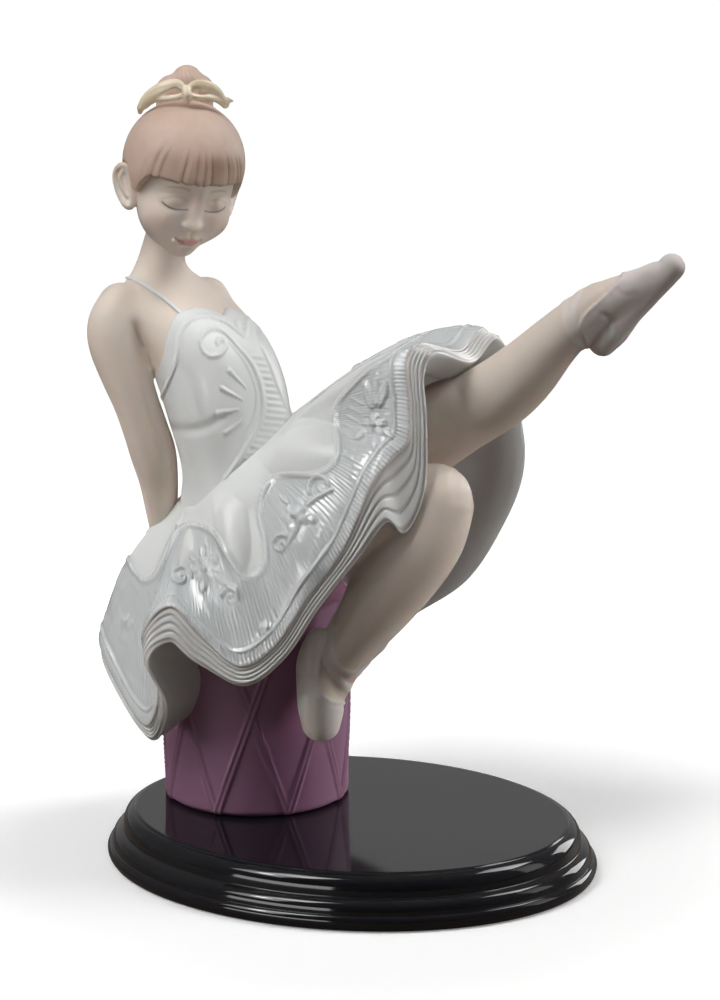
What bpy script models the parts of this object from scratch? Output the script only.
"""Seated dancer figurine in porcelain on a drum, with a black oval base. Metres, +Z up."""

import math

import bmesh
import bpy
from mathutils import Matrix, Vector

for old in list(bpy.data.objects):
    bpy.data.objects.remove(old, do_unlink=True)

# Dancer and drum from the base's top to the bun, in mm. The stations below are drawn at
# DRAWN_HEIGHT and grow with it
FIGURE_HEIGHT = 222.4
DRAWN_HEIGHT = 222.4
UNIT = FIGURE_HEIGHT / DRAWN_HEIGHT

# Base, in mm
BASE_LENGTH = 152.0
BASE_WIDTH = 124.0
BASE_HEIGHT = 15.4
BASE_SEGMENTS = 56

# Drum, in mm, and where the figure stands on the base
DRUM_RADIUS = 28.4
DRUM_HEIGHT = 64.0
DRUM_SEGMENTS = 40
DRUM_EDGE = 1.2
DRUM_X = -34.5
DRUM_Y = 10.0
FIGURE_TURN = 20.0
LACING_POINTS = 8
LACING_WIDTH = 2.0
LACING_RISE = 0.7
LACING_UNDER = 0.5
LACING_STEPS = 4
LACING_TURN = -24.0
LACING_ROOT = 1.0
LACING_MARGIN = 1.6
LACING_TAPER = 0.6
SEAT_GAP = 0.3

# Figure, in mm, in its own frame: drum centre on the base's top, X to the raised foot
LIMB_SEGMENTS = 14
HEM_THICKNESS = 4.0
HEM_ROLL = 4.5
SKIRT_COLUMNS = 76
SKIRT_ROWS = 8
HOLLOW_ROWS = 5
WAIST_CENTRE = (-6.0, 3.0, 104.0)
WAIST_RADIUS = 18.0
WAIST_SLOPE = 0.75
SEAT_CENTRE = (4.0, 0.0, 58.0)
UNDERSIDE_DROP = 20.0

TO_ROW = (
    Matrix.Translation(Vector((DRUM_X, DRUM_Y, BASE_HEIGHT + SEAT_GAP)) * 0.001)
    @ Matrix.Rotation(math.radians(FIGURE_TURN), 4, "Z")
    @ Matrix.Scale(0.001, 4)
)


def material(name, colour, roughness, coat=0.0):
    made = bpy.data.materials.new(name)
    made.use_nodes = True
    shader = made.node_tree.nodes["Principled BSDF"]
    shader.inputs["Base Color"].default_value = (*colour, 1.0)
    shader.inputs["Roughness"].default_value = roughness
    shader.inputs["Coat Weight"].default_value = coat
    return made


def mesh_object(name, rings, to_row, caps="poles"):
    """A closed body from rings of points: neighbours are joined and each end runs to a pole."""
    bm = bmesh.new()
    count = len(rings[0])
    rows = [[bm.verts.new(to_row @ Vector(point)) for point in ring] for ring in rings]
    for low, high in zip(rows, rows[1:]):
        for i in range(count):
            j = (i + 1) % count
            bm.faces.new((low[i], low[j], high[j], high[i]))
    for row, turn in ((rows[0], -1), (rows[-1], 1)):
        if caps == "flat":
            bm.faces.new(row[::turn])
            continue
        middle = bm.verts.new(sum((v.co for v in row), Vector()) / count)
        for i in range(count):
            pair = (row[i], row[(i + 1) % count])[::turn]
            bm.faces.new((*pair, middle))
    bmesh.ops.recalc_face_normals(bm, faces=bm.faces)
    if bm.calc_volume(signed=True) < 0:
        bmesh.ops.reverse_faces(bm, faces=bm.faces)
    for face in bm.faces:
        face.smooth = True
    mesh = bpy.data.meshes.new(name)
    bm.to_mesh(mesh)
    bm.free()
    made = bpy.data.objects.new(name, mesh)
    bpy.context.collection.objects.link(made)
    return made


def smooth_path(points, steps, closed=False):
    """Catmull-Rom samples through rows of numbers."""
    count = len(points)
    spans = count if closed else count - 1
    found = []
    for span in range(spans):
        ids = [span - 1, span, span + 1, span + 2]
        if closed:
            p0, p1, p2, p3 = (points[i % count] for i in ids)
        else:
            p0, p1, p2, p3 = (points[min(max(i, 0), count - 1)] for i in ids)
        for step in range(steps):
            t = step / steps
            found.append(
                [
                    0.5
                    * (
                        2 * b
                        + (c - a) * t
                        + (2 * a - 5 * b + 4 * c - d) * t * t
                        + (3 * b - a - 3 * c + d) * t * t * t
                    )
                    for a, b, c, d in zip(p0, p1, p2, p3)
                ]
            )
    if not closed:
        found.append(list(points[-1]))
    return found


def grown(rows):
    """Stations drawn in mm, at the figure's named height."""
    return [[value * UNIT for value in row] for row in rows]


def limb(name, stations, steps=2, flat=(0.0, 0.0, 1.0)):
    """A rounded limb through stations (x, y, z, half width, half depth)."""
    path = smooth_path(grown(stations), steps)
    centres = [Vector(row[:3]) for row in path]
    side = None
    rings = []
    last = len(path) - 1
    for i, row in enumerate(path):
        along = (centres[min(i + 1, last)] - centres[max(i - 1, 0)]).normalized()
        side = (side or Vector(flat)) - along * (side or Vector(flat)).dot(along)
        side.normalize()
        over = along.cross(side)
        radii = row[3:5]
        stretch = ((-0.86, 0.5), (-0.5, 0.87), (0.0, 1.0)) if i == 0 else ((0.0, 1.0),)
        if i == last:
            stretch = ((0.0, 1.0), (0.5, 0.87), (0.86, 0.5))
        for push, share in stretch:
            middle = centres[i] + along * push * min(radii)
            rings.append(
                [
                    middle
                    + side * math.cos(a) * radii[0] * share
                    + over * math.sin(a) * radii[1] * share
                    for a in (
                        2 * math.pi * k / LIMB_SEGMENTS for k in range(LIMB_SEGMENTS)
                    )
                ]
            )
    return mesh_object(name, rings, TO_ROW)


def ovals(name, rows, turn, lean=(0.0, 0.0), segments=24):
    """A body of level ovals (x, y, z, half width, half depth), turned about Z, in degrees."""
    spin = math.radians(turn)
    wide = Vector((math.cos(spin), math.sin(spin), 0.0))
    deep = Vector((math.sin(spin), -math.cos(spin), 0.0))
    rings = []
    for x, y, z, a, b in grown(rows):
        ring = []
        for k in range(segments):
            angle = 2 * math.pi * k / segments
            offset = wide * math.cos(angle) * a + deep * math.sin(angle) * b
            rise = offset.dot(wide) * lean[0] + offset.dot(deep) * lean[1]
            ring.append(Vector((x, y, z + rise)) + offset)
        rings.append(ring)
    return mesh_object(name, rings, TO_ROW)


# Each hem station: turn about the skirt's axis (degrees), reach and height of the rim (mm),
# how far the middle of the cloth swells out, and how far the underskirt hangs below
SKIRT_AXIS = (14.0, -4.0)
HEM = (
    (206.7, 51.3, 28.6, 3.0, 0.0),
    (212.9, 49.8, 41.5, 1.0, 0.0),
    (214.7, 56.3, 58.6, 0.0, 0.0),
    (221.8, 51.0, 68.6, 1.0, 0.0),
    (233.1, 47.5, 60.3, 2.0, 0.0),
    (248.2, 46.3, 52.9, 4.0, 0.0),
    (261.5, 44.5, 59.6, 5.0, 0.0),
    (273.6, 44.1, 74.1, 6.0, 0.0),
    (286.8, 44.9, 88.0, 6.0, 0.0),
    (297.6, 46.2, 107.0, 6.0, 8.0),
    (306.3, 45.9, 114.3, 6.0, 19.0),
    (312.7, 47.0, 119.0, 6.0, 14.0),
    (315.5, 45.2, 129.6, 6.0, 6.0),
    (318.6, 42.0, 140.5, 7.0, 3.0),
    (329.0, 41.8, 144.8, 7.0, 1.0),
    (357.6, 47.8, 139.0, 10.0, 0.0),
    (15.0, 58.5, 141.5, 10.0, 0.0),
    (22.0, 69.0, 113.0, 8.0, 0.0),
    (25.5, 71.5, 96.5, 5.0, 0.0),
    (29.5, 68.0, 80.5, 3.0, 0.0),
    (36.0, 60.5, 63.0, 1.0, 0.0),
    (47.0, 51.0, 52.5, 1.0, 0.0),
    (66.0, 47.0, 42.0, 2.0, 0.0),
    (95.5, 47.0, 35.5, 2.0, 0.0),
    (124.4, 50.0, 33.0, 3.0, 0.0),
    (149.8, 58.0, 38.7, 4.0, 0.0),
    (172.6, 62.4, 47.2, 4.0, 0.0),
    (190.3, 55.7, 35.9, 3.0, 0.0),
)


def skirt(name):
    """The cloth from waist to hem, its rolled edge, and the hollow under it, as one body."""
    stations = []
    first = HEM[0][0]
    for i, (turn, *lengths) in enumerate(HEM):
        reach, rise, swell, drop = (length * UNIT for length in lengths)
        angle = math.radians(turn)
        even = 360.0 * i / len(HEM)
        stations.append(
            [
                SKIRT_AXIS[0] * UNIT + reach * math.cos(angle),
                SKIRT_AXIS[1] * UNIT + reach * math.sin(angle),
                rise,
                swell,
                drop,
                (turn - first) % 360.0 - even,
            ]
        )
    fine = smooth_path(stations, 8, closed=True)
    lengths = [0.0]
    for a, b in zip(fine, fine[1:] + fine[:1]):
        lengths.append(lengths[-1] + (Vector(a[:3]) - Vector(b[:3])).length)
    columns = []
    turns = []
    at = 0
    for k in range(SKIRT_COLUMNS):
        wanted = lengths[-1] * k / SKIRT_COLUMNS
        while lengths[at + 1] < wanted:
            at += 1
        share = (wanted - lengths[at]) / (lengths[at + 1] - lengths[at])
        a, b = fine[at], fine[(at + 1) % len(fine)]
        columns.append([p + (q - p) * share for p, q in zip(a, b)])
        turns.append(first + 360.0 * (at + share) / len(fine) + columns[-1][5])
    waist = Vector(WAIST_CENTRE) * UNIT
    seat = Vector(SEAT_CENTRE) * UNIT
    outer = [[] for _ in range(SKIRT_ROWS + 1)]
    for (x, y, z, swell, _, _), turn in zip(columns, turns):
        hem = Vector((x, y, z))
        out = Vector((math.cos(math.radians(turn)), math.sin(math.radians(turn)), 0.0))
        start = waist + WAIST_RADIUS * Vector((out.x, out.y, WAIST_SLOPE * out.x))
        across = (hem - start).normalized()
        bulge = (Vector((0, 0, 1)) - across * across.z + out * 0.8).normalized()
        control = (start + hem) * 0.5 + bulge * swell * 2
        for r in range(SKIRT_ROWS + 1):
            t = r / SKIRT_ROWS
            outer[r].append(
                start * (1 - t) ** 2 + control * 2 * t * (1 - t) + hem * t * t
            )
    rim = outer[-1]
    count = len(rim)
    lower = []
    inner_edge = []
    directions = []
    for i, column in enumerate(columns):
        down = (rim[i] - outer[-3][i]).normalized()
        along = (rim[(i + 1) % count] - rim[i - 1]).normalized()
        inward = down.cross(along)
        inward.normalize()
        if inward.dot(rim[i] - seat) > 0:
            inward = -inward
        directions.append(inward)
        sag = Vector((0.0, 0.0, -column[4]))
        lower.append(rim[i] + down * HEM_ROLL * 0.9 + inward * HEM_ROLL * 0.3 + sag)
        inner_edge.append(rim[i] + down * HEM_ROLL * 0.75 + inward * HEM_THICKNESS + sag)
    hollow = []
    for r in range(1, HOLLOW_ROWS + 1):
        t = r / HOLLOW_ROWS
        ring = []
        for i in range(count):
            row = (1 - t * 0.7) * SKIRT_ROWS
            low = int(row)
            mix = row - low
            above = outer[low][i] * (1 - mix) + outer[min(low + 1, SKIRT_ROWS)][i] * mix
            shell = above + directions[i] * HEM_THICKNESS
            shell = shell + (seat - shell) * 0.1 * t
            side = rim[i].x
            open_side = min(max((side / UNIT + 5.0) / 30.0, 0.0), 1.0)
            deep = 0.08 + 0.74 * open_side
            middle = seat - Vector((0.0, 0.0, UNDERSIDE_DROP * (1 - open_side)))
            membrane = inner_edge[i] + (middle - inner_edge[i]) * t * 0.85
            ring.append(membrane + (shell - membrane) * deep)
        for _ in range(r * r // 2):
            ring = [
                (ring[i - 1] + ring[i] * 2 + ring[(i + 1) % count]) / 4
                for i in range(count)
            ]
        hollow.append(ring)
    rings = outer + [lower, inner_edge] + hollow
    return mesh_object(name, rings, TO_ROW)


def join(target, others):
    """Melts the others into the target, one after another."""
    for other in others:
        union = target.modifiers.new(other.name, "BOOLEAN")
        union.operation = "UNION"
        union.solver = "EXACT"
        union.object = other
        other.hide_render = True
        other.display_type = "WIRE"


# Base: an oval moulding, from the foot's underside to the top, as (inset, height)
BASE_PROFILE = (
    (1.9, 0.0),
    (0.5, 0.9),
    (0.0, 2.4),
    (0.4, 3.9),
    (1.3, 4.7),
    (1.7, 5.2),
    (1.9, 6.6),
    (2.9, 8.1),
    (4.6, 9.0),
    (4.9, 10.0),
    (5.2, 11.8),
    (6.2, 13.6),
    (7.9, 14.7),
    (8.9, 15.4),
)
BASE_UNIT = BASE_HEIGHT / BASE_PROFILE[-1][1]
base_rings = []
for drawn_inset, drawn_height in BASE_PROFILE:
    inset = drawn_inset * BASE_UNIT
    height = drawn_height * BASE_UNIT
    base_rings.append(
        [
            (
                (BASE_LENGTH / 2 - inset) * math.cos(a),
                (BASE_WIDTH / 2 - inset) * math.sin(a),
                height,
            )
            for a in (2 * math.pi * k / BASE_SEGMENTS for k in range(BASE_SEGMENTS))
        ]
    )
base = mesh_object("base", base_rings, Matrix.Scale(0.001, 4), caps="flat")
base.data.materials.append(material("black_lacquer", (0.01, 0.01, 0.012), 0.12, 1.0))

# Drum with rounded rims, and its raised lacing
drum_rings = []
for inset, height in (
    (DRUM_EDGE, 0.0),
    (0.0, DRUM_EDGE),
    (0.0, DRUM_HEIGHT - DRUM_EDGE),
    (DRUM_EDGE, DRUM_HEIGHT),
):
    drum_rings.append(
        [
            (
                (DRUM_RADIUS - inset) * math.cos(a),
                (DRUM_RADIUS - inset) * math.sin(a),
                height,
            )
            for a in (2 * math.pi * k / DRUM_SEGMENTS for k in range(DRUM_SEGMENTS))
        ]
    )
drum = mesh_object("figure", drum_rings, TO_ROW, caps="flat")


def lace(name, start, way, rise):
    """One raised band that climbs the drum while it goes one lacing point round."""
    spacing = 360.0 / LACING_POINTS
    rings = []
    slope = DRUM_HEIGHT / (math.radians(spacing) * DRUM_RADIUS)
    length = math.hypot(1.0, slope)
    for step in range(LACING_STEPS + 1):
        t = step / LACING_STEPS
        z = LACING_MARGIN + (DRUM_HEIGHT - 2 * LACING_MARGIN) * t
        ring = []
        for across, out in (
            (-1, -LACING_ROOT),
            (1, -LACING_ROOT),
            (LACING_TAPER, rise),
            (-LACING_TAPER, rise),
        ):
            shift = across * LACING_WIDTH / 2 * slope / length
            drop = -way * across * LACING_WIDTH / 2 / length
            angle = math.radians(start + way * spacing * t)
            angle += shift / DRUM_RADIUS
            radius = DRUM_RADIUS + out
            ring.append((radius * math.cos(angle), radius * math.sin(angle), z + drop))
        rings.append(ring)
    return mesh_object(name, rings, TO_ROW, caps="flat")


laces = []
for point in range(LACING_POINTS):
    start = 270.0 + LACING_TURN + 360.0 / LACING_POINTS * point
    laces.append(lace(f"lace_{point}_over", start, 1, LACING_RISE))
    laces.append(lace(f"lace_{point}_under", start, -1, LACING_UNDER))

# Legs
near_thigh = limb(
    "near_thigh",
    (
        (0.0, -10.0, 80.0, 15.0, 15.0),
        (28.0, -20.0, 90.0, 14.5, 14.5),
        (54.0, -27.5, 98.0, 11.4, 11.4),
    ),
)
near_shin = limb(
    "near_shin",
    (
        (54.5, -28.0, 96.5, 11.2, 11.2),
        (51.0, -28.5, 88.0, 12.2, 12.2),
        (45.0, -29.0, 79.0, 12.4, 12.4),
        (37.0, -30.0, 67.0, 11.0, 11.0),
        (27.5, -30.5, 52.0, 7.8, 7.8),
        (23.0, -31.0, 46.0, 6.6, 6.6),
    ),
    flat=(0.0, 1.0, 0.0),
)
near_shoe = limb(
    "near_shoe",
    (
        (20.0, -31.0, 58.0, 5.6, 5.0),
        (20.0, -31.0, 48.0, 7.4, 7.0),
        (20.0, -32.0, 38.0, 7.6, 6.6),
        (20.5, -32.0, 29.5, 6.0, 5.0),
    ),
    flat=(1.0, 0.0, 0.0),
)
far_leg = limb(
    "far_leg",
    (
        (0.0, 10.0, 80.0, 15.0, 15.0),
        (28.0, 3.0, 97.0, 14.5, 14.5),
        (56.0, -6.0, 116.5, 12.5, 12.5),
        (74.0, -9.0, 127.2, 11.4, 11.4),
        (86.0, -11.5, 136.3, 11.0, 11.0),
        (93.0, -13.0, 143.6, 8.8, 8.8),
        (99.5, -14.0, 150.5, 7.6, 7.6),
        (104.0, -14.5, 154.5, 7.4, 7.4),
    ),
)
far_shoe = limb(
    "far_shoe",
    (
        (104.0, -14.0, 149.5, 8.6, 7.0),
        (112.0, -15.5, 156.5, 7.4, 6.6),
        (118.5, -17.0, 161.8, 5.6, 5.6),
        (124.5, -18.0, 166.3, 3.7, 4.4),
    ),
)

# Trunk from the seat to the neck, and the bodice over it
TRUNK_TURN = 40.0
trunk = ovals(
    "trunk",
    (
        (2.0, 0.0, 66.0, 16.0, 14.0),
        (0.0, 0.0, 78.0, 21.0, 18.0),
        (-3.0, 1.5, 92.0, 20.5, 17.5),
        (-4.5, 2.5, 104.0, 20.5, 16.0),
        (-7.2, 4.0, 116.0, 20.8, 15.0),
        (-10.0, 6.0, 127.0, 20.8, 15.2),
        (-14.0, 8.0, 137.0, 20.4, 14.8),
        (-19.5, 10.0, 145.0, 20.2, 12.4),
        (-25.0, 11.3, 151.5, 19.8, 9.6),
        (-27.6, 11.8, 156.5, 15.5, 8.0),
        (-28.4, 11.8, 160.5, 10.4, 7.2),
        (-28.0, 11.5, 165.0, 7.6, 7.0),
        (-26.0, 10.5, 172.0, 7.0, 7.0),
        (-23.5, 9.5, 179.0, 7.0, 7.5),
    ),
    TRUNK_TURN,
)
bodice = ovals(
    "bodice",
    (
        (-4.5, 2.5, 104.0, 18.0, 14.0),
        (-7.2, 4.0, 116.0, 21.4, 16.0),
        (-9.8, 5.8, 127.0, 21.4, 16.4),
        (-13.2, 7.6, 136.5, 21.2, 16.4),
        (-16.0, 8.6, 141.5, 19.0, 14.0),
    ),
    TRUNK_TURN,
    lean=(-0.1, 0.22),
)
near_arm = limb(
    "near_arm",
    (
        (-40.5, 1.5, 151.0, 7.8, 7.8),
        (-42.0, 0.5, 141.5, 7.8, 7.8),
        (-38.0, 0.0, 130.0, 7.5, 7.5),
        (-33.5, 0.0, 116.0, 7.2, 7.2),
        (-29.8, 2.0, 103.0, 6.8, 6.8),
        (-29.0, 5.0, 90.0, 5.4, 5.4),
        (-28.3, 8.5, 78.0, 4.2, 4.6),
        (-28.0, 14.0, 72.0, 4.9, 2.8),
        (-27.7, 19.5, 67.6, 4.0, 1.8),
    ),
    flat=(1.0, 0.0, 0.0),
)
far_arm = limb(
    "far_arm",
    (
        (-15.0, 21.0, 149.0, 7.4, 7.4),
        (-12.0, 24.0, 141.0, 7.2, 7.2),
        (-13.0, 26.0, 127.0, 6.8, 6.8),
        (-16.0, 27.0, 114.0, 6.4, 6.4),
        (-18.0, 27.0, 100.0, 5.8, 5.8),
        (-18.0, 26.0, 88.0, 5.0, 5.0),
        (-17.0, 24.6, 79.0, 4.2, 4.6),
        (-17.8, 29.5, 73.0, 4.9, 2.8),
        (-18.6, 34.5, 68.4, 4.0, 1.8),
    ),
    flat=(1.0, 0.0, 0.0),
)

# Head, hair over it, bun with its ribbon, and ears
HEAD_TURN = 17.0
head = ovals(
    "head",
    (
        (-17.0, 1.0, 166.0, 3.0, 3.0),
        (-17.0, 1.5, 168.0, 6.5, 6.0),
        (-18.0, 3.0, 172.5, 11.2, 11.5),
        (-19.0, 4.5, 178.5, 14.8, 16.0),
        (-20.0, 5.5, 185.5, 16.6, 18.0),
        (-20.5, 6.0, 193.0, 17.0, 18.4),
        (-20.7, 6.5, 200.0, 16.2, 17.6),
        (-20.8, 7.5, 206.0, 12.0, 14.0),
    ),
    HEAD_TURN,
    lean=(0.1, -0.3),
)
hair = ovals(
    "hair",
    (
        (-20.6, 8.6, 181.5, 14.0, 14.6),
        (-20.6, 7.2, 186.0, 17.4, 18.0),
        (-20.6, 6.4, 192.0, 18.4, 19.8),
        (-20.8, 6.4, 198.0, 18.0, 19.8),
        (-20.8, 7.0, 203.0, 16.2, 17.8),
        (-20.8, 8.0, 207.5, 12.8, 14.0),
        (-20.8, 8.8, 210.8, 8.6, 9.6),
        (-20.8, 9.0, 212.6, 4.0, 4.5),
    ),
    HEAD_TURN,
    lean=(0.1, 0.16),
)
bun = ovals(
    "bun",
    (
        (-20.6, 11.0, 205.0, 8.0, 8.0),
        (-20.8, 12.0, 212.0, 9.2, 8.6),
        (-20.8, 13.0, 217.0, 8.4, 7.8),
        (-20.8, 13.5, 220.5, 5.6, 5.2),
        (-20.8, 13.5, 222.4, 2.6, 2.4),
    ),
    HEAD_TURN,
    segments=18,
)
ribbon = ovals(
    "ribbon",
    (
        (-20.8, 11.0, 209.2, 9.8, 9.4),
        (-20.8, 11.0, 210.2, 11.2, 10.6),
        (-20.8, 11.2, 212.4, 11.0, 10.4),
        (-20.8, 11.2, 213.4, 9.6, 9.0),
    ),
    HEAD_TURN,
    lean=(-0.04, -0.35),
    segments=24,
)
EAR_APART = 18.2
EAR_BACK = 3.0
EAR_LOW = 178.5
EAR_HIGH = 188.5
EAR_LOBE = (1.5, 2.2)
EAR_TOP = (1.8, 3.4)
EAR_LEAN = 1.0
ears = []
for name, side in (("near_ear", -1), ("far_ear", 1)):
    spin = math.radians(HEAD_TURN)
    x = -20.2 + side * EAR_APART * math.cos(spin) - EAR_BACK * math.sin(spin)
    y = 6.0 + side * EAR_APART * math.sin(spin) + EAR_BACK * math.cos(spin)
    ends = ((x, y, EAR_LOW, *EAR_LOBE), (x + side * EAR_LEAN, y, EAR_HIGH, *EAR_TOP))
    ears.append(limb(name, ends, steps=1, flat=(1.0, 0.0, 0.0)))

join(
    drum,
    laces
    + [
        skirt("skirt"),
        trunk,
        bodice,
        near_thigh,
        near_shin,
        near_shoe,
        far_leg,
        far_shoe,
        near_arm,
        far_arm,
        head,
        hair,
        bun,
        ribbon,
        *ears,
    ],
)
drum.data.materials.append(material("porcelain", (0.82, 0.80, 0.76), 0.35, 0.4))
